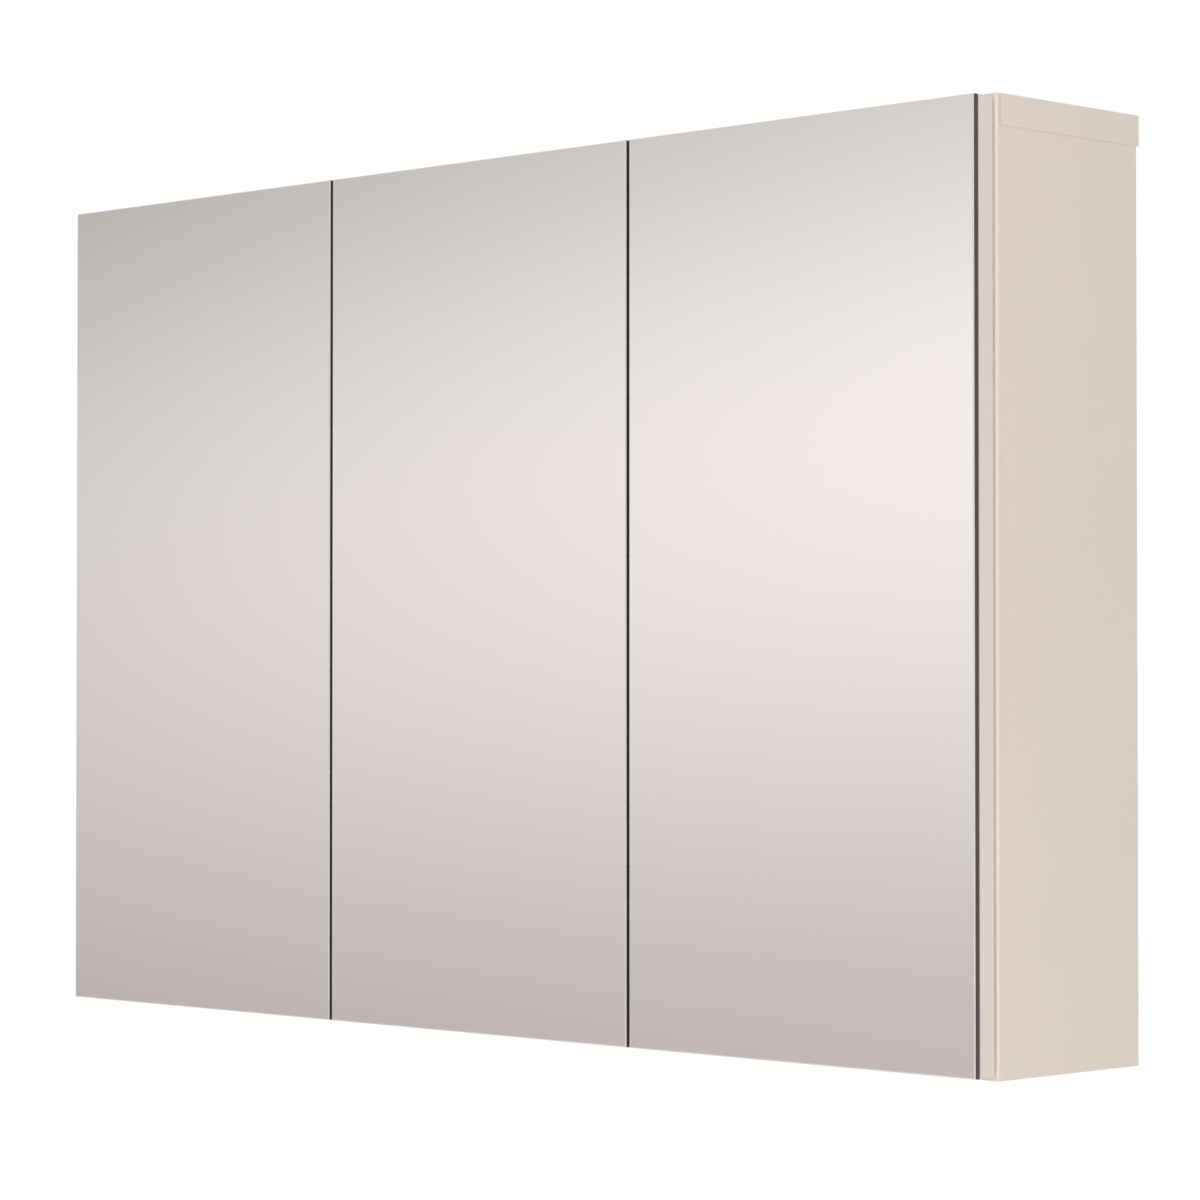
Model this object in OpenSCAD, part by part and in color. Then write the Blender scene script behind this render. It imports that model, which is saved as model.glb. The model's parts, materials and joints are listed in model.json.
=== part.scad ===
// Three-door mirrored bathroom wall cabinet.
// The wall is the plane y = 0 and the doors face -Y. X runs along the wall and Z is up.
// The origin is the centre of the four wall screws, on the wall.
// Each door has two concealed hinges. Their parts are drawn in the door's own corner frame:
// x runs in from the hinge-side edge, y runs back from the mirror's face, z is the height.

/* [Cabinet] */
// Overall width of the cabinet
cabinet_w = 1000; // [950:10:1150]
// Overall height of the cabinet
cabinet_h = 680; // [640:10:760]
// Depth of the carcass behind the doors
carcass_d = 161; // [155:1:190]
// Height of the cabinet's top above the centre of the wall screws
hang_drop = 60; // [60:1:64]

/* [Boards] */
// Thickness of the sides, the dividers and the bottom
board_t = 16; // [16:1:18]
// Thickness of the top board, which lies over the sides
top_t = 22; // [22:1:25]
// Thickness of the back panel
back_t = 3; // [3:0.5:4]
// Distance from the wall to the back panel
back_inset = 15; // [14:1:16]
// Distance that the rear edges of the sides stay off the wall
side_setback = 2; // [0:0.5:3]
// Thickness of the lippings on the front edges
lipping_t = 5; // [1:1:6]
// How far the top's ends and the lippings stand proud of the sides
side_step = 0.8; // [0:0.2:1]

/* [Doors] */
// Gap between two doors
door_gap = 3; // [3:0.5:4]
// Reveal above and below the doors
door_reveal = 3; // [2:0.5:5]
// Distance from the outer door edges to the cabinet's ends
door_end = 1; // [0.5:0.5:2]
// Air gap between the closed doors and the carcass
door_air = 2.5; // [2.5:0.5:3]
// Thickness of the door boards
door_t = 15; // [15:1:18]
// Thickness of the mirror glass
mirror_t = 5; // [4:1:5]
// Ground chamfer round the mirror's face
mirror_chamfer = 0.8; // [0.4:0.2:1.2]
// Thickness of the mounting tape behind the mirror
tape_t = 1; // [0.8:0.2:1.2]
// Width of one strip of mounting tape
tape_w = 22; // [15:1:30]
// How many strips hold one mirror
tape_n = 4; // [3:1:5]

/* [Shelves] */
// Thickness of the glass shelves
shelf_t = 5; // [4:1:6]
// Depth of the glass shelves
shelf_d = 119; // [100:1:120]
// Gap at each end of a shelf
shelf_gap = 1; // [0.5:0.5:2]
// Radius of the shelf pin holes
pin_hole_r = 2.5; // [2.5:0.5:3]
// Pitch of the shelf pin holes
pin_pitch = 32; // [25:1:32]

/* [Hinges] */
// Distance from a door's top or bottom edge to the hinge
hinge_inset = 95; // [90:1:120]
// Distance from the door's edge to the cup's centre
cup_edge = 22.5; // [21.5:0.5:24]
// Distance from the carcass's front to the mounting plate's centre
plate_front = 37; // [37:1:40]
// Radius of the hinge pins
hinge_pin_r = 1.75; // [1.5:0.05:1.75]

/* [Wall fixing] */
// Distance between the two columns of wall screws
wall_span = 925; // [875:10:1075]
// Distance between the two screws of one wall plate
wall_pitch = 28; // [26:1:28]
// Radius of the wall screw holes
wall_hole_r = 2.75; // [2.25:0.25:3]

/* [Hidden] */
$fn = 48;
eps = 0.1;
play = 0.05;
lipping_break = 0.1;

// carcass
half_w = cabinet_w / 2;
z_top = hang_drop;
z_bottom = z_top - cabinet_h;
z_under_top = z_top - top_t;
z_floor = z_bottom + board_t;
inner_h = z_under_top - z_floor;
inner_x = half_w - board_t;
y_front = -carcass_d;
y_board = y_front + lipping_t;
y_back = -(back_inset + back_t);
groove_d = 6;
groove_w = back_t + 0.2;

// doors, counted from the left: 0, 1, 2
door_w = (cabinet_w - 2 * door_end - 2 * door_gap) / 3;
door_h = cabinet_h - 2 * door_reveal;
door_z = z_bottom + door_reveal;
stack_t = mirror_t + tape_t + door_t;
y_face = y_front - door_air - stack_t;
divider_x = door_w / 2 + door_gap / 2;
hinge_z = [door_z + hinge_inset, door_z + door_h - hinge_inset];

// hinge linkage, in the door's corner frame
cup_r = 17.5;
turn_axis = [7, 6.5];
arm_pin = [24, 25.5];
cup_pin = [27.5, 18];
knuckle_pin = cup_pin + arm_pin - turn_axis;
carcass_v = stack_t + door_air;
plate_v = carcass_v + plate_front;
cup_floor_v = stack_t - 12.5;
cup_lip = 1;
lug_x = cup_edge + 9.5;
lug_z = 24;
lug_r = 4;
crank_r = 3.4;
crank_layer = [5.2, 6.6];
carrier_r = 3.2;
carrier_half = 4.8;
cheek_layer = [7, 8.2];
plate_t = 2.5;
web_h = 9.2;
sheet_t = 1.2;
plate_screw_z = 16;
plate_screw_r = 2.1;
arm_screw_v = [plate_v - 12, plate_v + 12];

// shelves: two heights, three bays
shelf_z = [z_floor + inner_h / 3, z_floor + inner_h * 2 / 3];
shelf_y = y_back - 3;
pin_y = [y_front + 37, y_back - 32];
peg_r = 3;
collar_r = 5;
pin_depth = 7.5;

// fixings between the boards
cam_r = 7.5;
cam_d = 12.5;
cam_reach = 34;
cam_y = [y_front + 25, y_front + 101];
bolt_r = 3.4;
thread_r = 2.9;
thread_d = 11;
dowel_r = 4;
dowel_deep = 20;
dowel_shallow = 10;
side_dowel_y = y_front + 62;
divider_dowel_y = [y_front + 41, y_front + 111];
back_screw_z = [z_floor + 45, z_floor + inner_h / 2, z_under_top - 45];
back_screw_r = 1.5;

// wall hangers
hanger_x = wall_span / 2;
hanger_w = 43;
hanger_d = 20;
hanger_z = [-26, z_under_top - 3];
hanger_wall = 1.8;
hanger_dowel_z = [-12, 20];
hanger_dowel_r = 5;
hanger_screw_z = [-4, 22];
hook_w = 12;
hook_t = 3;
plate_h = 26;
lip_z = 29.5;
lip_foot_z = 20;
lip_y = 6.5;

// Left end of bay i, counted from the left, and its right end
function bay_left(i) = i == 0 ? -inner_x : (2 * i - 3) * divider_x + board_t / 2;
function bay_right(i) = -bay_left(2 - i);

// Hinge-side edge of door i, and the way that its own x axis runs
function door_edge(i) = [-half_w + door_end, -divider_x + door_gap / 2, half_w - door_end][i];
function hinged_right(i) = i == 2;

// How far the carcass board that carries door i's hinges reaches behind the door
function overlay(i) = i == 1 ? (board_t - door_gap) / 2 : board_t - door_end;

// ---- placing and shared shapes ----

module at_door(i) {
    translate([door_edge(i), y_face, 0])
        mirror([hinged_right(i) ? 1 : 0, 0, 0])
            children();
}

module at_hinges(i) {
    at_door(i)
        for (z = hinge_z)
            translate([0, 0, z])
                children();
}

module both_sides() {
    for (side = [0, 1])
        mirror([side, 0, 0])
            children();
}

// A rod or bore of radius r from a point, along X, Y or Z; a negative length runs the other way
module rod_x(p, r, len) {
    translate(p)
        rotate([0, len < 0 ? -90 : 90, 0])
            cylinder(r = r, h = abs(len));
}

module rod_y(p, r, len) {
    translate(p)
        rotate([len < 0 ? 90 : -90, 0, 0])
            cylinder(r = r, h = abs(len));
}

module rod_z(p, r, len) {
    translate(len < 0 ? p + [0, 0, len] : p)
        cylinder(r = r, h = abs(len));
}

// A pin along Z through the hinge's middle, with a rivet head at each end
module riveted_pin(p, half_len, head) {
    rod_z([p[0], p[1], -half_len], hinge_pin_r, 2 * half_len);
    for (z = [-half_len - head, half_len])
        rod_z([p[0], p[1], z], hinge_pin_r + 0.9, head);
}

// Outline of a straight link with round ends
module link_outline(p, q, end_r, bar_half) {
    along = (q - p) / norm(q - p);
    across = [-along[1], along[0]] * bar_half;
    translate(p)
        circle(r = end_r);
    translate(q)
        circle(r = end_r);
    polygon([p + across, q + across, q - across, p - across]);
}

// Screw head lying on a face normal to X, with a cross recess
module screw_head_x(p, r, h) {
    difference() {
        rod_x(p, r, h);
        for (size = [[1, 0.9, 2 * r - 2], [1, 2 * r - 2, 0.9]])
            translate(p + [h - 0.5, 0, 0])
                cube(size, center = true);
    }
}

// ---- carcass ----

module shelf_pin_bores(x, len) {
    for (y = pin_y, shelf = shelf_z, step = [-1, 0, 1])
        rod_x([x, y, shelf - peg_r + step * pin_pitch], pin_hole_r, len);
}

// Screw holes for the mounting plates of door i, from the board's face inwards
module hinge_plate_bores(i) {
    at_hinges(i)
        for (z = [-plate_screw_z, plate_screw_z])
            rod_x([overlay(i) + eps, plate_v, z], plate_screw_r + play, -(11 + eps));
}

module side_board() {
    color("antiquewhite")
        difference() {
            translate([-half_w + side_step, y_board, z_bottom])
                cube([board_t - side_step, -side_setback - y_board, z_under_top - z_bottom]);
            translate([-inner_x - groove_d, -back_inset - back_t - 0.1, z_bottom - eps])
                cube([groove_d + eps, groove_w, cabinet_h]);
            shelf_pin_bores(-inner_x + eps, -(10 + eps));
            hinge_plate_bores(0);
            for (y = cam_y) {
                rod_x([-inner_x + eps, y, z_under_top - cam_reach], cam_r, -(cam_d + eps));
                rod_z([-half_w + board_t / 2, y, z_under_top + eps], bolt_r + 0.4, -(cam_reach + eps));
                rod_x([-inner_x + eps, y, z_bottom + board_t / 2], thread_r + play, -(thread_d + eps));
            }
            rod_z([-half_w + board_t / 2, side_dowel_y, z_under_top + eps], dowel_r + play,
                -(dowel_deep + eps));
            rod_x([-inner_x + eps, side_dowel_y, z_bottom + board_t / 2], dowel_r + play,
                -(dowel_shallow + eps));
            for (z = hanger_dowel_z)
                rod_x([-inner_x + eps, y_back - 10, z], hanger_dowel_r, -(9 + eps));
        }
}

module side_left() side_board();

module side_right() mirror([1, 0, 0]) side_board();

module top_panel() {
    color("antiquewhite")
        difference() {
            translate([-half_w, y_board, z_under_top])
                cube([cabinet_w, -y_board, top_t]);
            translate([-inner_x - groove_d, -back_inset - back_t - 0.1, z_under_top - eps])
                cube([2 * (inner_x + groove_d), groove_w, groove_d + eps]);
            both_sides() {
                for (y = cam_y)
                    rod_z([-half_w + board_t / 2, y, z_under_top - eps], thread_r + play, thread_d + eps);
                rod_z([-half_w + board_t / 2, side_dowel_y, z_under_top - eps], dowel_r + play,
                    dowel_shallow + eps);
                for (y = divider_dowel_y)
                    rod_z([-divider_x, y, z_under_top - eps], dowel_r + play, dowel_shallow + eps);
            }
        }
}

module bottom_panel() {
    color("antiquewhite")
        difference() {
            translate([-inner_x, y_board, z_bottom])
                cube([2 * inner_x, -y_board, board_t]);
            translate([-inner_x - eps, -back_inset - back_t - 0.1, z_floor - groove_d])
                cube([2 * (inner_x + eps), groove_w, groove_d + eps]);
            both_sides() {
                for (y = cam_y) {
                    rod_z([-inner_x + cam_reach, y, z_bottom - eps], cam_r, cam_d + eps);
                    rod_x([-inner_x - eps, y, z_bottom + board_t / 2], bolt_r + 0.4, cam_reach + eps);
                }
                rod_x([-inner_x - eps, side_dowel_y, z_bottom + board_t / 2], dowel_r + play,
                    dowel_deep + eps);
                for (y = divider_dowel_y)
                    rod_z([-divider_x, y, z_floor + eps], dowel_r + play, -(dowel_shallow + eps));
            }
        }
}

module divider_board(x) {
    color("antiquewhite")
        difference() {
            translate([x - board_t / 2, y_board, z_floor])
                cube([board_t, y_back - y_board, inner_h]);
            shelf_pin_bores(x - board_t / 2 - eps, board_t + 2 * eps);
            for (y = divider_dowel_y) {
                rod_z([x, y, z_under_top + eps], dowel_r + play, -(dowel_deep + eps));
                rod_z([x, y, z_floor - eps], dowel_r + play, dowel_deep + eps);
            }
            for (z = back_screw_z)
                rod_y([x, y_back + eps, z], back_screw_r + play, -(15 + eps));
        }
}

module divider_left() {
    difference() {
        divider_board(-divider_x);
        hinge_plate_bores(1);
    }
}

module divider_right() divider_board(divider_x);

module back_panel() {
    color("white")
        difference() {
            translate([-inner_x - groove_d + 0.2, y_back, z_floor - groove_d + 0.2])
                cube([2 * (inner_x + groove_d - 0.2), back_t, inner_h + 2 * (groove_d - 0.2)]);
            both_sides() {
                translate([-hanger_x - hook_w / 2 - 3, y_back - eps, lip_z - 4])
                    cube([hook_w + 6, back_t + 2 * eps, hook_t + 7]);
                for (z = back_screw_z)
                    rod_y([-divider_x, y_back - eps, z], back_screw_r + play, back_t + 2 * eps);
            }
        }
}

module front_lippings() {
    run = inner_x - lipping_break;
    color("linen") {
        both_sides() {
            translate([-half_w, y_front, z_bottom])
                cube([board_t, lipping_t, cabinet_h]);
            translate([-divider_x - board_t / 2, y_front, z_floor + lipping_break])
                cube([board_t, lipping_t, inner_h - 2 * lipping_break]);
        }
        translate([-run, y_front, z_under_top])
            cube([2 * run, lipping_t, top_t]);
        translate([-run, y_front, z_bottom])
            cube([2 * run, lipping_t, board_t]);
    }
}

// ---- shelves ----

module shelf(bay, level) {
    color("lightcyan", 0.5)
        translate([bay_left(bay) + shelf_gap, shelf_y - shelf_d, shelf_z[level]])
            cube([bay_right(bay) - bay_left(bay) - 2 * shelf_gap, shelf_d, shelf_t]);
}

module shelf_left_lower() shelf(0, 0);

module shelf_left_upper() shelf(0, 1);

module shelf_middle_lower() shelf(1, 0);

module shelf_middle_upper() shelf(1, 1);

module shelf_right_lower() shelf(2, 0);

module shelf_right_upper() shelf(2, 1);

// A pin in the board's hole, a collar against the board and a peg under the glass
module shelf_pin(p, inwards) {
    rod_x(p, pin_hole_r - play, -inwards * pin_depth);
    rod_x(p, collar_r, inwards * (shelf_gap - 0.2));
    rod_x(p, peg_r, inwards * 9);
}

module shelf_pins() {
    color("silver")
        for (bay = [0, 1, 2], y = pin_y, shelf = shelf_z) {
            shelf_pin([bay_left(bay), y, shelf - peg_r], 1);
            shelf_pin([bay_right(bay), y, shelf - peg_r], -1);
        }
}

// ---- fixings between the boards ----

// A cam with a cross slot in its face and a bore for its bolt, standing on z = 0, bolt towards -X
module cam() {
    difference() {
        rod_z([0, 0, 0.2], cam_r - play, cam_d - 0.4);
        rod_x([0, 0, cam_d - 4.5], bolt_r + 0.4, -cam_r);
        for (size = [[1.2, 9, 2], [9, 1.2, 2]])
            translate([0, 0, 0.2])
                cube(size, center = true);
    }
}

module cam_locks() {
    color("gainsboro")
        both_sides()
            for (y = cam_y) {
                translate([-inner_x + cam_reach, y, z_bottom])
                    cam();
                translate([-inner_x, y, z_under_top - cam_reach])
                    rotate([0, -90, 0])
                        mirror([1, 0, 0])
                            cam();
            }
}

module cam_bolts() {
    color("darkgray")
        both_sides()
            for (y = cam_y) {
                rod_x([-inner_x, y, z_bottom + board_t / 2], bolt_r, cam_reach - 2);
                rod_x([-inner_x, y, z_bottom + board_t / 2], thread_r, -(thread_d - 0.2));
                rod_z([-half_w + board_t / 2, y, z_under_top], bolt_r, -(cam_reach - 2));
                rod_z([-half_w + board_t / 2, y, z_under_top], thread_r, thread_d - 0.2);
            }
}

module dowels() {
    color("burlywood")
        both_sides() {
            rod_z([-half_w + board_t / 2, side_dowel_y, z_under_top + dowel_shallow - 0.5], dowel_r,
                -(dowel_deep + dowel_shallow - 1));
            rod_x([-inner_x - dowel_shallow + 0.5, side_dowel_y, z_bottom + board_t / 2], dowel_r,
                dowel_deep + dowel_shallow - 1);
            for (y = divider_dowel_y) {
                rod_z([-divider_x, y, z_under_top + dowel_shallow - 0.5], dowel_r,
                    -(dowel_deep + dowel_shallow - 1));
                rod_z([-divider_x, y, z_floor - dowel_shallow + 0.5], dowel_r,
                    dowel_deep + dowel_shallow - 1);
            }
        }
}

module back_panel_screws() {
    color("silver")
        both_sides()
            for (z = back_screw_z) {
                rod_y([-divider_x, -back_inset, z], back_screw_r, -(back_t + 14));
                rod_y([-divider_x, -back_inset, z], 3.2, 1.6);
            }
}

// ---- wall fixing, drawn at the left and mirrored to the right ----

module hanger_housing() {
    height = hanger_z[1] - hanger_z[0];
    color("whitesmoke") {
        difference() {
            translate([-inner_x, y_back - hanger_d, hanger_z[0]])
                cube([hanger_w, hanger_d, height]);
            translate([-inner_x + hanger_wall, y_back - hanger_d + hanger_wall, hanger_z[0] + hanger_wall])
                cube([hanger_w - 2 * hanger_wall, hanger_d, height - 2 * hanger_wall]);
            for (z = hanger_screw_z)
                rod_y([-hanger_x, y_back - hanger_d - eps, z], 2.6, hanger_wall + 2 * eps);
        }
        for (z = hanger_dowel_z)
            rod_x([-inner_x, y_back - 10, z], hanger_dowel_r - play, -8.5);
    }
}

module hanger_housing_left() hanger_housing();

module hanger_housing_right() mirror([1, 0, 0]) hanger_housing();

// The lift plate in the housing, the bar through the back panel and the tip behind the wall plate
module hanger_hooks() {
    lift_y = y_back - 13;
    color("silver")
        both_sides()
            translate([-hanger_x - hook_w / 2, 0, 0]) {
                translate([0, lift_y, -12])
                    cube([hook_w, hook_t, lip_z + hook_t + 12]);
                translate([0, lift_y, lip_z])
                    cube([hook_w, -1 - lift_y, hook_t]);
                translate([0, -4, lip_foot_z + 2.5])
                    cube([hook_w, hook_t, lip_z + hook_t - lip_foot_z - 2.5]);
            }
}

module hanger_screws() {
    head_y = y_back - hanger_d;
    color("silver")
        both_sides()
            for (z = hanger_screw_z)
                difference() {
                    union() {
                        rod_y([-hanger_x, head_y - 2, z], 3.6, 2);
                        rod_y([-hanger_x, head_y, z], 2.4, hanger_d - 13);
                    }
                    for (size = [[0.9, 2, 5], [5, 2, 0.9]])
                        translate([-hanger_x, head_y - 2, z])
                            cube(size, center = true);
                }
}

module hanger_covers() {
    gap = 1;
    wall = 1.2;
    low = [-inner_x, y_back - hanger_d - 3.3 - wall, hanger_z[0] - gap - wall];
    high = [-inner_x + hanger_w + gap + wall, y_back - 2, hanger_z[1] + gap + wall];
    color("white")
        both_sides()
            difference() {
                translate(low)
                    cube(high - low);
                translate(low + [-eps, wall, wall])
                    cube(high - low - [wall - eps, wall - eps, 2 * wall]);
            }
}

module wall_plates() {
    width = 40;
    color("lightgray")
        both_sides()
            difference() {
                translate([-hanger_x - width / 2, 0, 0]) {
                    translate([0, -2, -plate_h])
                        cube([width, 2, plate_h + lip_foot_z + 2]);
                    translate([0, -lip_y, lip_foot_z])
                        cube([width, lip_y, 2]);
                    translate([0, -lip_y, lip_foot_z])
                        cube([width, 2, lip_z - lip_foot_z]);
                }
                for (z = [-wall_pitch / 2, wall_pitch / 2])
                    rod_y([-hanger_x, -2 - eps, z], wall_hole_r, 2 + 2 * eps);
            }
}

// ---- hinges, fixed half ----

// Mounting plate on the board's face: a base, two screw wings and a ridge under the arm
module hinge_plate(i) {
    base = overlay(i);
    at_hinges(i)
        difference() {
            union() {
                translate([base, plate_v - 22, -8])
                    cube([plate_t, 44, 16]);
                translate([base, plate_v - 7, -plate_screw_z])
                    cube([plate_t, 14, 2 * plate_screw_z]);
                for (z = [-plate_screw_z, plate_screw_z])
                    rod_x([base, plate_v, z], 7, plate_t);
                translate([base + plate_t, plate_v - 20, -5.5])
                    cube([3.5, 40, 11]);
            }
            for (z = [-plate_screw_z, plate_screw_z])
                rod_x([base - eps, plate_v, z], plate_screw_r + play, plate_t + 2 * eps);
            for (v = arm_screw_v)
                rod_x([base + 1, v, 0], 2 + play, plate_t + 3);
        }
}

module hinge_plates() {
    color("silver")
        for (i = [0, 1, 2])
            hinge_plate(i);
}

// The arm is a channel over the plate's ridge; its two cheeks reach forward to the arm pin
module hinge_arm(i) {
    low = overlay(i) + plate_t;
    high = overlay(i) + web_h;
    front_v = carcass_v + 13;
    rear_v = plate_v + 22;
    pin_r = 3.6;
    color("silver")
        at_hinges(i)
            difference() {
                union() {
                    for (z = [-cheek_layer[1], cheek_layer[0]])
                        translate([0, 0, z])
                            linear_extrude(height = cheek_layer[1] - cheek_layer[0]) {
                                translate(arm_pin)
                                    circle(r = pin_r);
                                polygon([
                                    arm_pin + [-pin_r, 0], arm_pin + [pin_r, 0],
                                    [high, front_v], [high, rear_v], [low, rear_v], [low, front_v]
                                ]);
                            }
                    translate([high - sheet_t, front_v, -cheek_layer[1]])
                        cube([sheet_t, rear_v - front_v, 2 * cheek_layer[1]]);
                }
                rod_z([arm_pin[0], arm_pin[1], -10], hinge_pin_r + play, 20);
                for (v = arm_screw_v)
                    rod_x([high - sheet_t - eps, v, 0], 2.6, sheet_t + 2 * eps);
            }
}

module hinge_arms_left() hinge_arm(0);

module hinge_arms_middle() hinge_arm(1);

module hinge_arms_right() hinge_arm(2);

module hinge_arm_pins() {
    color("dimgray")
        for (i = [0, 1, 2])
            at_hinges(i)
                riveted_pin(arm_pin, cheek_layer[1], 0.8);
}

module hinge_screws() {
    color("silver")
        for (i = [0, 1, 2])
            at_hinges(i) {
                for (z = [-plate_screw_z, plate_screw_z]) {
                    screw_head_x([overlay(i) + plate_t, plate_v, z], 3.8, 1.8);
                    rod_x([overlay(i) + plate_t, plate_v, z], plate_screw_r, -(plate_t + 10));
                }
                for (v = arm_screw_v) {
                    screw_head_x([overlay(i) + web_h, v, 0], 3.6, 1.6);
                    rod_x([overlay(i) + web_h, v, 0], 2, -(web_h - 2));
                }
            }
}

// ---- doors ----

module door_board(i) {
    color("antiquewhite")
        at_door(i)
            difference() {
                translate([0, mirror_t + tape_t, door_z])
                    cube([door_w, door_t, door_h]);
                for (z = hinge_z) {
                    rod_y([cup_edge, stack_t + eps, z], cup_r + play, -(12.5 + eps));
                    for (side = [-1, 1])
                        rod_y([lug_x, stack_t + eps, z + side * lug_z], lug_r + play, -(9 + eps));
                }
            }
}

module mirror_glass(i) {
    c = mirror_chamfer;
    color("lightsteelblue")
        at_door(i)
            hull() {
                translate([0, c, door_z])
                    cube([door_w, mirror_t - c, door_h]);
                translate([c, 0, door_z + c])
                    cube([door_w - 2 * c, c, door_h - 2 * c]);
            }
}

module mirror_tape(i) {
    inset = 6;
    pitch = (door_w - 2 * inset - tape_w) / (tape_n - 1);
    color("dimgray")
        at_door(i)
            for (k = [0 : tape_n - 1])
                translate([inset + k * pitch, mirror_t, door_z + inset])
                    cube([tape_w, tape_t, door_h - 2 * inset]);
}

// A pressed cup with a lip, two lugs that hold it in the board and a cross bore for its pin
module hinge_cups(i) {
    wall = 1.5;
    color("silver")
        at_hinges(i)
            difference() {
                union() {
                    rod_y([cup_edge, cup_floor_v + 0.1, 0], cup_r, 12.4);
                    rod_y([cup_edge, stack_t, 0], cup_r + 1.5, cup_lip);
                    translate([lug_x - 6.5, stack_t, -lug_z])
                        cube([13, cup_lip, 2 * lug_z]);
                    for (z = [-lug_z, lug_z]) {
                        rod_y([lug_x, stack_t, z], 6.5, cup_lip);
                        rod_y([lug_x, stack_t, z], lug_r, -8.5);
                    }
                }
                rod_y([cup_edge, cup_floor_v + 1.3, 0], cup_r - wall, 20);
                rod_z([cup_pin[0], cup_pin[1], -17], hinge_pin_r + play, 34);
            }
}

module cup_pins(i) {
    color("dimgray")
        at_hinges(i)
            rod_z([cup_pin[0], cup_pin[1], -16], hinge_pin_r, 32);
}

module door_bumpers(i) {
    color("white")
        at_door(i)
            for (z = [door_z + 37, door_z + door_h - 37])
                rod_y([door_w - 3.5, stack_t, z], 3, door_air - 0.2);
}

// ---- hinge links: with the door's turning axis they form a parallelogram ----

// The crank turns on the arm pin and carries the knuckle pin
module crank_links(i) {
    color("gray")
        at_hinges(i)
            difference() {
                union() {
                    rod_z([arm_pin[0], arm_pin[1], -crank_layer[1]], crank_r, 2 * crank_layer[1]);
                    for (z = [-crank_layer[1], crank_layer[0]])
                        translate([0, 0, z])
                            linear_extrude(height = crank_layer[1] - crank_layer[0])
                                link_outline(arm_pin, knuckle_pin, crank_r, crank_r - 0.4);
                }
                for (p = [arm_pin, knuckle_pin])
                    rod_z([p[0], p[1], -8], hinge_pin_r + play, 16);
            }
}

module crank_pins(i) {
    color("dimgray")
        at_hinges(i)
            riveted_pin(knuckle_pin, crank_layer[1], 0.8);
}

// The carrier joins the knuckle pin to the pin in the cup and never turns as the door opens
module carrier_links(i) {
    color("silver")
        at_hinges(i)
            difference() {
                translate([0, 0, -carrier_half])
                    linear_extrude(height = 2 * carrier_half)
                        link_outline(cup_pin, knuckle_pin, carrier_r, carrier_r - 0.6);
                for (p = [cup_pin, knuckle_pin])
                    rod_z([p[0], p[1], -8], hinge_pin_r + 2 * play, 16);
            }
}

module left_door_board() door_board(0);

module left_mirror() mirror_glass(0);

module left_mirror_tape() mirror_tape(0);

module left_hinge_cups() hinge_cups(0);

module left_cup_pins() cup_pins(0);

module left_door_bumpers() door_bumpers(0);

module left_crank_links() crank_links(0);

module left_crank_pins() crank_pins(0);

module left_carrier_links() carrier_links(0);

module middle_door_board() door_board(1);

module middle_mirror() mirror_glass(1);

module middle_mirror_tape() mirror_tape(1);

module middle_hinge_cups() hinge_cups(1);

module middle_cup_pins() cup_pins(1);

module middle_door_bumpers() door_bumpers(1);

module middle_crank_links() crank_links(1);

module middle_crank_pins() crank_pins(1);

module middle_carrier_links() carrier_links(1);

module right_door_board() door_board(2);

module right_mirror() mirror_glass(2);

module right_mirror_tape() mirror_tape(2);

module right_hinge_cups() hinge_cups(2);

module right_cup_pins() cup_pins(2);

module right_door_bumpers() door_bumpers(2);

module right_crank_links() crank_links(2);

module right_crank_pins() crank_pins(2);

module right_carrier_links() carrier_links(2);

side_left();
side_right();
top_panel();
bottom_panel();
divider_left();
divider_right();
back_panel();
front_lippings();
shelf_left_lower();
shelf_left_upper();
shelf_middle_lower();
shelf_middle_upper();
shelf_right_lower();
shelf_right_upper();
shelf_pins();
cam_locks();
cam_bolts();
dowels();
back_panel_screws();
hanger_housing_left();
hanger_housing_right();
hanger_hooks();
hanger_screws();
hanger_covers();
wall_plates();
hinge_plates();
hinge_arms_left();
hinge_arms_middle();
hinge_arms_right();
hinge_arm_pins();
hinge_screws();
left_door_board();
left_mirror();
left_mirror_tape();
left_hinge_cups();
left_cup_pins();
left_door_bumpers();
left_crank_links();
left_crank_pins();
left_carrier_links();
middle_door_board();
middle_mirror();
middle_mirror_tape();
middle_hinge_cups();
middle_cup_pins();
middle_door_bumpers();
middle_crank_links();
middle_crank_pins();
middle_carrier_links();
right_door_board();
right_mirror();
right_mirror_tape();
right_hinge_cups();
right_cup_pins();
right_door_bumpers();
right_crank_links();
right_crank_pins();
right_carrier_links();
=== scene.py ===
"""Three-door mirrored bathroom wall cabinet: looks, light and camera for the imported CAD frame."""

import json
import math

import bmesh
import bpy
from mathutils import Matrix, Vector


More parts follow.
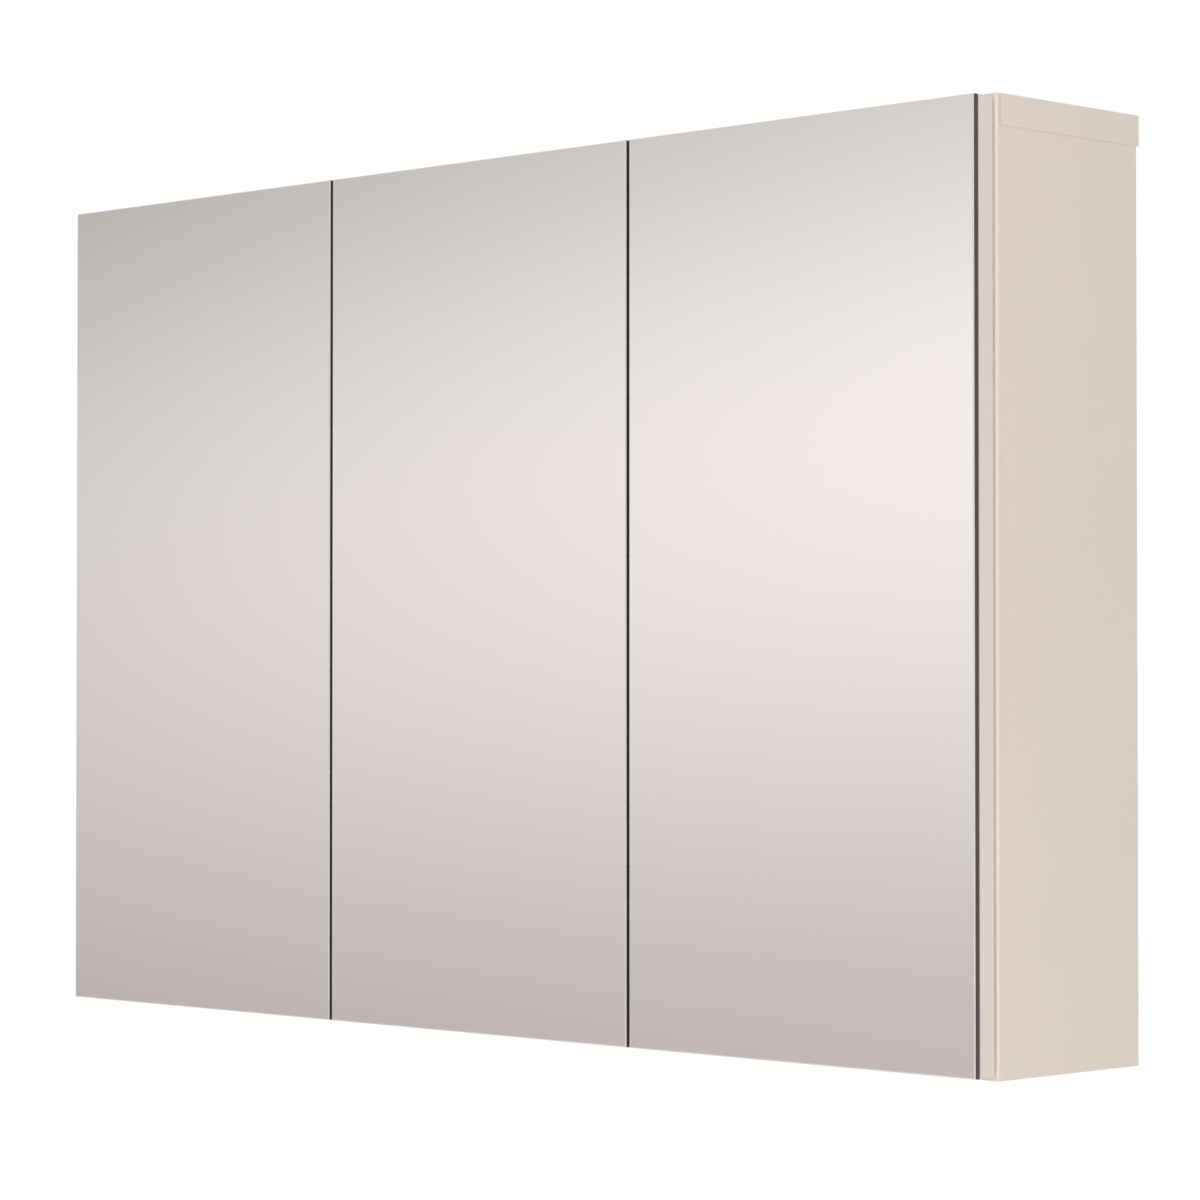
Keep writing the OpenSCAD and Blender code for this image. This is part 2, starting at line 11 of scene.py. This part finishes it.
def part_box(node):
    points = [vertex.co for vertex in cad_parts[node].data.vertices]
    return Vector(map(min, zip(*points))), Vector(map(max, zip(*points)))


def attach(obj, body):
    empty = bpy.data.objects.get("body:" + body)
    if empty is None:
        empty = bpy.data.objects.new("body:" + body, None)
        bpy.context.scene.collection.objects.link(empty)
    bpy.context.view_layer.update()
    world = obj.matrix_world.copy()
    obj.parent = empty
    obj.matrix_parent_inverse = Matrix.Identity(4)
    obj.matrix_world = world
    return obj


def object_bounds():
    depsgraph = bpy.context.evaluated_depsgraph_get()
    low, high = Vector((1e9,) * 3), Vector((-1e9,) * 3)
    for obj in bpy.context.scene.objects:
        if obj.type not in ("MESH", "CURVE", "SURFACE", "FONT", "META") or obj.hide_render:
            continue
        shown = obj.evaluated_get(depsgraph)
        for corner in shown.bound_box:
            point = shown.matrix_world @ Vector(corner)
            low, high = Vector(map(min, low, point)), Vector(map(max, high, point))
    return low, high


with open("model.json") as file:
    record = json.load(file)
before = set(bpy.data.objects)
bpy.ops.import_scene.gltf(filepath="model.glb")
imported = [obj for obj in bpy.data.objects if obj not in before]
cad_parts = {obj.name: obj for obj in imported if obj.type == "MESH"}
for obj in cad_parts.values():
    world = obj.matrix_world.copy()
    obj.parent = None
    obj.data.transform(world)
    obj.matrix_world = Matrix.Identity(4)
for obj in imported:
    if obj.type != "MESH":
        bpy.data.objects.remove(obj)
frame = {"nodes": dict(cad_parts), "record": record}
cad_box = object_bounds()

MM = 0.001
DOORS = ("left", "middle", "right")
NODES = frame["nodes"]

# ---- colours, linear RGB ----
CREAM = (0.743, 0.668, 0.609)
DOOR_EDGING = (0.735, 0.668, 0.621)
LIPPING_PAINTED_HIGHLIGHT = (0.79, 0.71, 0.645)
# Lighter cream than the board: a painted highlight of the lit rounded front edge, laid over the
# lipping's own tone.
BACK_WHITE = (0.80, 0.77, 0.72)
SILVER = (0.95, 0.947, 0.94)
CHAMFER = (0.80, 0.80, 0.79)
GLASS_EDGE = (0.062, 0.052, 0.050)
MIRROR_PAINT = (0.30, 0.31, 0.33)
TAPE_GREY = (0.045, 0.045, 0.048)
SHELF_TINT = (0.86, 0.95, 0.91)
SHELF_EDGE = (0.40, 0.62, 0.54)
NICKEL = (0.62, 0.60, 0.57)
ZINC = (0.50, 0.51, 0.53)
PIN_STEEL = (0.42, 0.42, 0.43)
WHITE_PLASTIC = (0.84, 0.83, 0.80)
SILICONE = (0.70, 0.70, 0.68)
BEECH = (0.62, 0.42, 0.24)
FLOOR_TONE = (0.86, 0.85, 0.83)


# ---- surface finish ----
# Noise scales are in cycles to a metre, bump depths in metres. Facing limits are cosines.
NOISE_LOW = 0.3
NOISE_HIGH = 0.7
CLOUD_SCALE = 5.0
PEARL_SCALE = 1400.0
PEARL_DEPTH = 0.00006
FINE_DEPTH = 0.00005
WOOD_DEPTH = 0.0001
EDGING_FACING = 0.7
FRONT_FACING = -0.98
SLOPE_FACING = -0.4
REAR_FACING = 0.9
FLAT_FACING = 0.9
SILVER_ROUGH = 0.014
GROUND_ROUGH = 0.374
SHELF_EDGE_ROUGH = 0.22
GLASS_IOR = 1.5
SHELF_EDGE_CLEAR = 0.55
SHELF_FACE_CLEAR = 0.90
BUMPER_SCATTER = 0.002


# ---- node helpers ----

def new_material(name, roughness, metallic=0.0):
    """A Principled material and the things needed to build on it."""
    mat = bpy.data.materials.new(name)
    mat.use_nodes = True
    tree = mat.node_tree
    shader = tree.nodes["Principled BSDF"]
    shader.inputs["Roughness"].default_value = roughness
    shader.inputs["Metallic"].default_value = metallic
    return mat, tree, shader


def node(tree, kind, **settings):
    made = tree.nodes.new(kind)
    for key, value in settings.items():
        setattr(made, key, value)
    return made


def math_node(tree, operation, a, b=None):
    made = node(tree, "ShaderNodeMath", operation=operation)
    for socket, value in zip(made.inputs, (a, b)):
        if value is None:
            continue
        if isinstance(value, (int, float)):
            socket.default_value = value
        else:
            tree.links.new(value, socket)
    return made.outputs[0]


def object_coords(tree):
    return node(tree, "ShaderNodeTexCoord").outputs["Object"]


def object_normal(tree):
    coord = node(tree, "ShaderNodeTexCoord")
    split = node(tree, "ShaderNodeSeparateXYZ")
    tree.links.new(coord.outputs["Normal"], split.inputs[0])
    return split.outputs


def noise(tree, scale, detail=2.0, stretch=None):
    """A noise value over the object's own coordinates, finer along axes that stretch enlarges."""
    vector = object_coords(tree)
    if stretch:
        mapping = node(tree, "ShaderNodeMapping")
        mapping.inputs["Scale"].default_value = stretch
        tree.links.new(vector, mapping.inputs["Vector"])
        vector = mapping.outputs[0]
    made = node(tree, "ShaderNodeTexNoise")
    made.inputs["Scale"].default_value = scale
    made.inputs["Detail"].default_value = detail
    tree.links.new(vector, made.inputs["Vector"])
    return made.outputs["Fac"]


def remap(tree, value, low, high, start=NOISE_LOW, end=NOISE_HIGH):
    """The value's range from start to end, carried to low to high."""
    made = node(tree, "ShaderNodeMapRange")
    tree.links.new(value, made.inputs["Value"])
    made.inputs["From Min"].default_value = start
    made.inputs["From Max"].default_value = end
    made.inputs["To Min"].default_value = low
    made.inputs["To Max"].default_value = high
    return made.outputs["Result"]


def mix_colour(tree, factor, a, b):
    made = node(tree, "ShaderNodeMix", data_type="RGBA")
    tree.links.new(factor, made.inputs["Factor"])
    for socket, value in ((made.inputs[6], a), (made.inputs[7], b)):
        if isinstance(value, tuple):
            socket.default_value = (*value, 1.0)
        else:
            tree.links.new(value, socket)
    return made.outputs[2]


def shade(colour, factor):
    return tuple(c * factor for c in colour)


def bump(tree, shader, height, strength, distance):
    made = node(tree, "ShaderNodeBump")
    made.inputs["Strength"].default_value = strength
    made.inputs["Distance"].default_value = distance
    tree.links.new(height, made.inputs["Height"])
    tree.links.new(made.outputs[0], shader.inputs["Normal"])


# ---- materials ----

def melamine(name, colour, roughness=0.42, pearl=0.25, edging=None):
    """Coated board: a faint cloudiness in the tone and the fine pearl of the press plate.
    With edging, the sides that don't face along Y take that other tone."""
    mat, tree, shader = new_material(name, roughness)
    cloud = remap(tree, noise(tree, CLOUD_SCALE, 3.0), 0.0, 1.0)
    tone = mix_colour(tree, cloud, shade(colour, 0.985), shade(colour, 1.012))
    if edging:
        across = math_node(tree, "ABSOLUTE", object_normal(tree)[1])
        side = math_node(tree, "LESS_THAN", across, EDGING_FACING)
        tone = mix_colour(tree, side, tone, edging)
    tree.links.new(tone, shader.inputs["Base Color"])
    grain = noise(tree, PEARL_SCALE)
    rough = remap(tree, grain, roughness - 0.05, roughness + 0.06)
    tree.links.new(rough, shader.inputs["Roughness"])
    bump(tree, shader, grain, pearl, PEARL_DEPTH)
    return mat


def mirror_glass():
    """Silvered front, dark ground edge and grey rear, chosen by the side a face points to."""
    mat, tree, shader = new_material("mirror_glass", 0.02)
    ny = object_normal(tree)[1]
    front = math_node(tree, "LESS_THAN", ny, FRONT_FACING)
    rear = math_node(tree, "GREATER_THAN", ny, REAR_FACING)
    ground = mix_colour(tree, remap(tree, noise(tree, 700.0, 3.0), 0.0, 1.0),
                        shade(GLASS_EDGE, 0.8), shade(GLASS_EDGE, 1.25))
    haze = remap(tree, noise(tree, 9.0, 4.0), 0.0, 1.0)
    silver = mix_colour(tree, haze, shade(SILVER, 0.996), SILVER)
    slope = math_node(tree, "LESS_THAN", ny, SLOPE_FACING)
    colour = mix_colour(tree, slope, ground, CHAMFER)
    colour = mix_colour(tree, front, colour, silver)
    colour = mix_colour(tree, rear, colour, MIRROR_PAINT)
    tree.links.new(colour, shader.inputs["Base Color"])
    shine = math_node(tree, "MULTIPLY", math_node(tree, "ADD", slope, front), 0.5)
    tree.links.new(shine, shader.inputs["Metallic"])
    rough = remap(tree, shine, GROUND_ROUGH, SILVER_ROUGH, 0.0, 1.0)
    tree.links.new(rough, shader.inputs["Roughness"])
    return mat


def shelf_glass():
    """Clear float glass with the greener tint that its ground edges show."""
    mat, tree, shader = new_material("shelf_glass", 0.03)
    nz = object_normal(tree)[2]
    flat = math_node(tree, "GREATER_THAN", math_node(tree, "ABSOLUTE", nz), FLAT_FACING)
    smear = remap(tree, noise(tree, 14.0, 4.0), 0.0, 1.0)
    edge = mix_colour(tree, smear, shade(SHELF_EDGE, 0.92), SHELF_EDGE)
    tree.links.new(mix_colour(tree, flat, edge, SHELF_TINT), shader.inputs["Base Color"])
    sides = math_node(tree, "SUBTRACT", 1.0, flat)
    edge_rough = math_node(tree, "MULTIPLY", sides, SHELF_EDGE_ROUGH)
    face_rough = remap(tree, smear, 0.01, 0.04, 0.0, 1.0)
    tree.links.new(math_node(tree, "ADD", edge_rough, face_rough), shader.inputs["Roughness"])
    shader.inputs["IOR"].default_value = GLASS_IOR
    clear = remap(tree, flat, SHELF_EDGE_CLEAR, SHELF_FACE_CLEAR, 0.0, 1.0)
    tree.links.new(clear, shader.inputs["Transmission Weight"])
    return mat


def metal(name, colour, roughness, spread=0.06):
    """Plated metal, with a roughness that varies finely."""
    mat, tree, shader = new_material(name, roughness, 1.0)
    fine = noise(tree, 260.0, 3.0)
    patch = remap(tree, noise(tree, 45.0, 2.0), 0.0, 1.0)
    tree.links.new(mix_colour(tree, patch, shade(colour, 0.93), shade(colour, 1.05)),
                   shader.inputs["Base Color"])
    rough = remap(tree, fine, roughness - spread, roughness + spread)
    tree.links.new(rough, shader.inputs["Roughness"])
    bump(tree, shader, fine, 0.12, FINE_DEPTH)
    return mat


def plastic(name, colour, roughness, grain=900.0):
    mat, tree, shader = new_material(name, roughness)
    fine = noise(tree, grain, 2.0)
    patch = remap(tree, noise(tree, 30.0, 2.0), 0.0, 1.0)
    tree.links.new(mix_colour(tree, patch, shade(colour, 0.97), colour),
                   shader.inputs["Base Color"])
    rough = remap(tree, fine, roughness - 0.04, roughness + 0.05)
    tree.links.new(rough, shader.inputs["Roughness"])
    bump(tree, shader, fine, 0.2, FINE_DEPTH)
    return mat


def silicone(name):
    mat = plastic(name, SILICONE, 0.38, 400.0)
    shader = mat.node_tree.nodes["Principled BSDF"]
    shader.inputs["Subsurface Weight"].default_value = 0.2
    shader.inputs["Subsurface Radius"].default_value = (BUMPER_SCATTER,) * 3
    return mat


def beech():
    """Short beech dowels: grain along X, the way they are driven."""
    mat, tree, shader = new_material("beech", 0.6)
    grain = noise(tree, 300.0, 4.0, (0.12, 1.0, 1.0))
    tree.links.new(mix_colour(tree, remap(tree, grain, 0.0, 1.0), shade(BEECH, 0.75), BEECH),
                   shader.inputs["Base Color"])
    bump(tree, shader, grain, 0.3, WOOD_DEPTH)
    return mat


MATERIALS = {
    "carcass_board": melamine("carcass_melamine", CREAM),
    "door_board": melamine("door_melamine", CREAM, 0.4, 0.25, DOOR_EDGING),
    # The lipping's lighter tone is a painted highlight of its lit front edge.
    "front_lipping": melamine("lipping_foil_painted_highlight", LIPPING_PAINTED_HIGHLIGHT, 0.34, 0.12),
    "back_board": melamine("back_board", BACK_WHITE, 0.5),
    "mirror_glass": mirror_glass(),
    "mounting_tape": plastic("mounting_tape", TAPE_GREY, 0.7, 500.0),
    "shelf_glass": shelf_glass(),
    "nickel": metal("nickel_plate", NICKEL, 0.24),
    "zinc": metal("zinc_die_cast", ZINC, 0.36),
    "pin_steel": metal("pin_steel", PIN_STEEL, 0.28),
    "white_plastic": plastic("white_plastic", WHITE_PLASTIC, 0.36),
    "bumper": silicone("bumper_silicone"),
    "beech": beech(),
}


# ---- finish of the CAD nodes ----

BEVELS = {
    "carcass_board": 0.5,
    "door_board": 0.8,
    "front_lipping": 1.6,
    "back_board": 0.2,
    "mirror_glass": 0.15,
    "mounting_tape": 0.2,
    "shelf_glass": 0.5,
    "nickel": 0.25,
    "zinc": 0.25,
    "pin_steel": 0.2,
    "white_plastic": 0.35,
    "bumper": 0.6,
    "beech": 0.5,
}
BEVEL_SEGMENTS = 3
BEVEL_ANGLE = 40
FLAT_ANGLE = 0.5
WELD_REACH = 0.01 * MM


def soften(obj, width):
    """Joins the faces again, then rounds every sharp edge, as a real edge is."""
    weld = obj.modifiers.new("weld", "WELD")
    weld.merge_threshold = WELD_REACH
    flat = obj.modifiers.new("flat", "DECIMATE")
    flat.decimate_type = "DISSOLVE"
    flat.angle_limit = math.radians(FLAT_ANGLE)
    edge = obj.modifiers.new("edge", "BEVEL")
    edge.width = width * MM
    edge.segments = BEVEL_SEGMENTS
    edge.limit_method = "ANGLE"
    edge.angle_limit = math.radians(BEVEL_ANGLE)
    edge.use_clamp_overlap = True
    level = obj.modifiers.new("level", "WEIGHTED_NORMAL")
    level.weight = 100
    level.keep_sharp = True
    obj.data.shade_smooth()


def dress_nodes():
    for part in frame["record"]["subparts"]:
        obj = NODES[part["node"]]
        slot = part["material_slot"]
        obj.data.materials.clear()
        obj.data.materials.append(MATERIALS[slot])
        soften(obj, BEVELS[slot])


dress_nodes()


# ---- pieces ----

CUP_SCREW_R = 3.4 * MM
CUP_SCREW_H = 1.7 * MM
RECESS_LONG = 3.9 * MM
RECESS_WIDE = 0.85 * MM
RECESS_DEEP = 1.1 * MM
RECESS_TAPER = 0.55
PAN_PROFILE = ((1.0, 0.0), (1.0, 0.35), (0.94, 0.62), (0.78, 0.86), (0.5, 0.98))
LATHE_STEPS = 40
MERGE_REACH = 0.0001 * MM
WING_INSET = 9.5 * MM
WING_REACH = 24 * MM
WING_R = 6.5 * MM
CUP_SCREW_BEVEL = 0.1
TURN_PER_DOOR = 1.1
TURN_PER_SCREW = 0.7


def copy_result(obj):
    """The mesh that obj's modifiers give."""
    graph = bpy.context.evaluated_depsgraph_get()
    return bpy.data.meshes.new_from_object(obj.evaluated_get(graph))


def lathe(name, profile):
    """A solid turned round Z from (radius, height) points; its ends close on the axis."""
    bm = bmesh.new()
    points = [bm.verts.new((r, 0, h)) for r, h in profile]
    edges = [bm.edges.new(pair) for pair in zip(points, points[1:])]
    bmesh.ops.spin(bm, geom=points + edges, cent=(0, 0, 0), axis=(0, 0, 1),
                   angle=math.tau, steps=LATHE_STEPS, use_merge=True)
    bmesh.ops.remove_doubles(bm, verts=bm.verts, dist=MERGE_REACH)
    bmesh.ops.recalc_face_normals(bm, faces=bm.faces)
    mesh = bpy.data.meshes.new(name)
    bm.to_mesh(mesh)
    bm.free()
    return mesh


def tapered_bar(bm, long, wide, top, bottom):
    """One arm pair of a cross recess, narrower at its floor."""
    corners = []
    for height, part in ((bottom, RECESS_TAPER), (top, 1.0)):
        for x, y in ((-1, -1), (1, -1), (1, 1), (-1, 1)):
            corners.append(bm.verts.new((x * long / 2 * part, y * wide / 2 * part, height)))
    bm.faces.new(corners[3::-1])
    bm.faces.new(corners[4:])
    for k in range(4):
        n = (k + 1) % 4
        bm.faces.new((corners[k], corners[n], corners[4 + n], corners[4 + k]))


def pan_head():
    """A pan head with a cross recess, standing on z = 0."""
    r, h = CUP_SCREW_R, CUP_SCREW_H
    profile = [(0, 0), *((part * r, rise * h) for part, rise in PAN_PROFILE), (0, h)]
    head = bpy.data.objects.new("pan_head", lathe("pan_head", profile))
    bpy.context.scene.collection.objects.link(head)
    cutters = []
    for turn in (0, math.pi / 2):
        bm = bmesh.new()
        tapered_bar(bm, RECESS_LONG, RECESS_WIDE, h + 0.5 * MM, h - RECESS_DEEP)
        bmesh.ops.rotate(bm, verts=bm.verts, matrix=Matrix.Rotation(turn, 3, "Z"))
        mesh = bpy.data.meshes.new("recess")
        bm.to_mesh(mesh)
        bm.free()
        cutter = bpy.data.objects.new("recess", mesh)
        bpy.context.scene.collection.objects.link(cutter)
        cut = head.modifiers.new("cut", "BOOLEAN")
        cut.object = cutter
        cut.solver = "EXACT"
        cutters.append(cutter)
    mesh = copy_result(head)
    for obj in cutters + [head]:
        bpy.data.objects.remove(obj)
    return mesh


def scatter(name, mesh, places):
    """One object that holds a copy of the mesh at each place, a list of 4 x 4 matrices."""
    bm = bmesh.new()
    for place in places:
        start = len(bm.verts)
        bm.from_mesh(mesh)
        bm.verts.ensure_lookup_table()
        bmesh.ops.transform(bm, matrix=place, verts=bm.verts[start:])
    made = bpy.data.meshes.new(name)
    bm.to_mesh(made)
    bm.free()
    obj = bpy.data.objects.new(name, made)
    bpy.context.scene.collection.objects.link(obj)
    return obj


def finish_piece(obj, body, slot, bevel):
    obj.data.materials.clear()
    obj.data.materials.append(MATERIALS[slot])
    soften(obj, bevel)
    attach(obj, body)


def add_cup_screws():
    """Two pan heads on the wings of each hinge cup, each turned its own way."""
    head = pan_head()
    for number, door in enumerate(DOORS):
        low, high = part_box(f"{door}_hinge_cups")
        inward = -1 if door == "right" else 1
        x = (low.x + high.x) / 2 + inward * WING_INSET
        heights = (low.z + WING_R, low.z + WING_R + 2 * WING_REACH,
                   high.z - WING_R - 2 * WING_REACH, high.z - WING_R)
        upright = Matrix.Rotation(-math.pi / 2, 4, "X")
        turns = [TURN_PER_DOOR * number + TURN_PER_SCREW * k for k in range(len(heights))]
        places = [Matrix.Translation((x, high.y, z)) @ upright @ Matrix.Rotation(turn, 4, "Z")
                  for z, turn in zip(heights, turns)]
        screws = scatter(f"{door}_cup_screws", head, places)
        finish_piece(screws, f"{door}_door", "nickel", CUP_SCREW_BEVEL)


# ---- floor, studio and camera ----

FLOOR_DROP = 1.2
FLOOR_RADIUS = 6.0
FLOOR_SOLID = 0.4
FLOOR_RIM = 0.98
FLOOR_SEGMENTS = 96
CAMERA_PLACE = (2.217, -2.269, -0.344)
CAMERA_YAW = 44.92
CAMERA_PITCH = 1.148
CAMERA_LENS = 118.2
SENSOR = 36.0
CAMERA_REACH = 100

SOFTBOX_TINT = (1.0, 0.98, 0.95)
# name, place, aim, side of the square, watts
SOFTBOXES = (
    ("softbox_right", (2.9, -2.6, -0.2), (0.5, -0.16, -0.28), 1.8, 52),
    ("softbox_rear", (-1.6, 2.4, 1.8), (0.0, 0.0, -0.28), 2.0, 30),
)

STUDIO_WHITE = (1.0, 1.0, 1.0)
ROOM_REAR = (0.55, 0.55, 0.55)
REAR_SPAN = (-0.25, 0.1)
ROOM_HIGH = (0.497, 0.487, 0.465)
ROOM_LOW = (0.502, 0.438, 0.429)
ROOM_SPAN = 0.2
ROOM_ASIDE = (-0.25, 0.15)
ROOM_SHARE = (0.70, 1.15)
CEILING = (0.80, 0.79, 0.77)
CEILING_SPAN = (0.25, 0.75)
GLOW = (0.420, 0.388, 0.399)
GLOW_HEADING = (-0.677, -0.736)
GLOW_ASIDE = 0.039
GLOW_HEIGHT = 0.063
GLOW_WIDTH = 0.26
GLOW_ABOVE = 0.063
GLOW_BELOW = 0.081
GLOW_TILT = 0.154


def floor_material():
    """Pale matt floor that fades out towards its rim, so that it has no hard edge."""
    mat, tree, shader = new_material("studio_floor", 0.85)
    tone = remap(tree, noise(tree, 1.5, 2.0), 0.0, 1.0)
    tree.links.new(mix_colour(tree, tone, shade(FLOOR_TONE, 0.99), FLOOR_TONE),
                   shader.inputs["Base Color"])
    length = node(tree, "ShaderNodeVectorMath", operation="LENGTH")
    tree.links.new(object_coords(tree), length.inputs[0])
    made = node(tree, "ShaderNodeMapRange", interpolation_type="SMOOTHSTEP")
    tree.links.new(length.outputs["Value"], made.inputs["Value"])
    made.inputs["From Min"].default_value = FLOOR_SOLID * FLOOR_RADIUS
    made.inputs["From Max"].default_value = FLOOR_RADIUS * FLOOR_RIM
    made.inputs["To Min"].default_value = 1.0
    made.inputs["To Max"].default_value = 0.0
    tree.links.new(made.outputs["Result"], shader.inputs["Alpha"])
    return mat


def add_floor():
    mesh = bpy.data.meshes.new("studio_floor")
    bm = bmesh.new()
    bmesh.ops.create_circle(bm, cap_ends=True, radius=FLOOR_RADIUS, segments=FLOOR_SEGMENTS)
    bm.to_mesh(mesh)
    bm.free()
    floor = bpy.data.objects.new("studio_floor", mesh)
    floor.location = (0, 0, cad_box[0].z - FLOOR_DROP)
    mesh.materials.append(floor_material())
    bpy.context.scene.collection.objects.link(floor)


def add_world():
    """White studio behind the object, a soft grey room with one soft glow in front of it."""
    world = bpy.data.worlds.new("studio")
    bpy.context.scene.world = world
    world.use_nodes = True
    tree = world.node_tree
    background = tree.nodes["Background"]
    direction = node(tree, "ShaderNodeTexCoord").outputs["Generated"]
    split = node(tree, "ShaderNodeSeparateXYZ")
    tree.links.new(direction, split.inputs[0])

    def along(vector):
        made = node(tree, "ShaderNodeVectorMath", operation="DOT_PRODUCT")
        tree.links.new(direction, made.inputs[0])
        made.inputs[1].default_value = vector
        return made.outputs["Value"]

    def ramp(value, start, end, kind="SMOOTHSTEP"):
        made = node(tree, "ShaderNodeMapRange", interpolation_type=kind)
        tree.links.new(value, made.inputs["Value"])
        made.inputs["From Min"].default_value = start
        made.inputs["From Max"].default_value = end
        return made.outputs["Result"]

    hx, hy = GLOW_HEADING
    turn = along((-hy, hx, 0))
    across = math_node(tree, "SUBTRACT", turn, GLOW_ASIDE)
    ahead = math_node(tree, "GREATER_THAN", along((hx, hy, 0)), 0.0)
    level = math_node(tree, "ADD", math_node(tree, "MULTIPLY", across, GLOW_TILT), GLOW_HEIGHT)
    height = math_node(tree, "SUBTRACT", split.outputs[2], level)
    above = math_node(tree, "DIVIDE", math_node(tree, "MAXIMUM", height, 0.0), GLOW_ABOVE)
    below = math_node(tree, "DIVIDE", math_node(tree, "MINIMUM", height, 0.0), GLOW_BELOW)
    wide = math_node(tree, "DIVIDE", across, GLOW_WIDTH)
    squares = [math_node(tree, "POWER", value, 2.0) for value in (above, below, wide)]
    total = math_node(tree, "ADD", math_node(tree, "ADD", squares[0], squares[1]), squares[2])
    glow = math_node(tree, "EXPONENT", math_node(tree, "MULTIPLY", total, -0.5))
    glow = math_node(tree, "MULTIPLY", glow, ahead)
    rise = ramp(split.outputs[2], -ROOM_SPAN, ROOM_SPAN, "LINEAR")
    room = mix_colour(tree, rise, ROOM_LOW, ROOM_HIGH)
    share = node(tree, "ShaderNodeVectorMath", operation="SCALE")
    tree.links.new(room, share.inputs[0])
    tree.links.new(remap(tree, turn, *ROOM_SHARE, *ROOM_ASIDE), share.inputs["Scale"])
    add = node(tree, "ShaderNodeMix", data_type="RGBA", blend_type="ADD")
    tree.links.new(glow, add.inputs["Factor"])
    tree.links.new(share.outputs[0], add.inputs[6])
    add.inputs[7].default_value = (*GLOW, 1.0)
    lit = mix_colour(tree, ramp(split.outputs[1], *REAR_SPAN), add.outputs[2], ROOM_REAR)
    lit = mix_colour(tree, ramp(split.outputs[2], *CEILING_SPAN), lit, CEILING)
    seen = node(tree, "ShaderNodeLightPath").outputs["Is Camera Ray"]
    tree.links.new(mix_colour(tree, seen, lit, STUDIO_WHITE), background.inputs["Color"])


def add_softbox(name, place, aim, size, watts):
    light = bpy.data.lights.new(name, "AREA")
    light.shape = "RECTANGLE"
    light.size = light.size_y = size
    light.energy = watts
    light.color = SOFTBOX_TINT
    obj = bpy.data.objects.new(name, light)
    obj.location = place
    obj.visible_glossy = False
    obj.rotation_euler = (Vector(aim) - Vector(place)).to_track_quat("-Z", "Y").to_euler()
    bpy.context.scene.collection.objects.link(obj)


def add_camera():
    camera = bpy.data.cameras.new("camera")
    camera.lens = CAMERA_LENS
    camera.sensor_width = SENSOR
    camera.clip_end = CAMERA_REACH
    obj = bpy.data.objects.new("camera", camera)
    obj.location = CAMERA_PLACE
    obj.rotation_euler = (math.radians(90 + CAMERA_PITCH), 0, math.radians(CAMERA_YAW))
    bpy.context.scene.collection.objects.link(obj)
    bpy.context.scene.camera = obj


add_cup_screws()
add_floor()
add_world()
for softbox in SOFTBOXES:
    add_softbox(*softbox)
add_camera()
bpy.context.scene.view_settings.view_transform = "Standard"
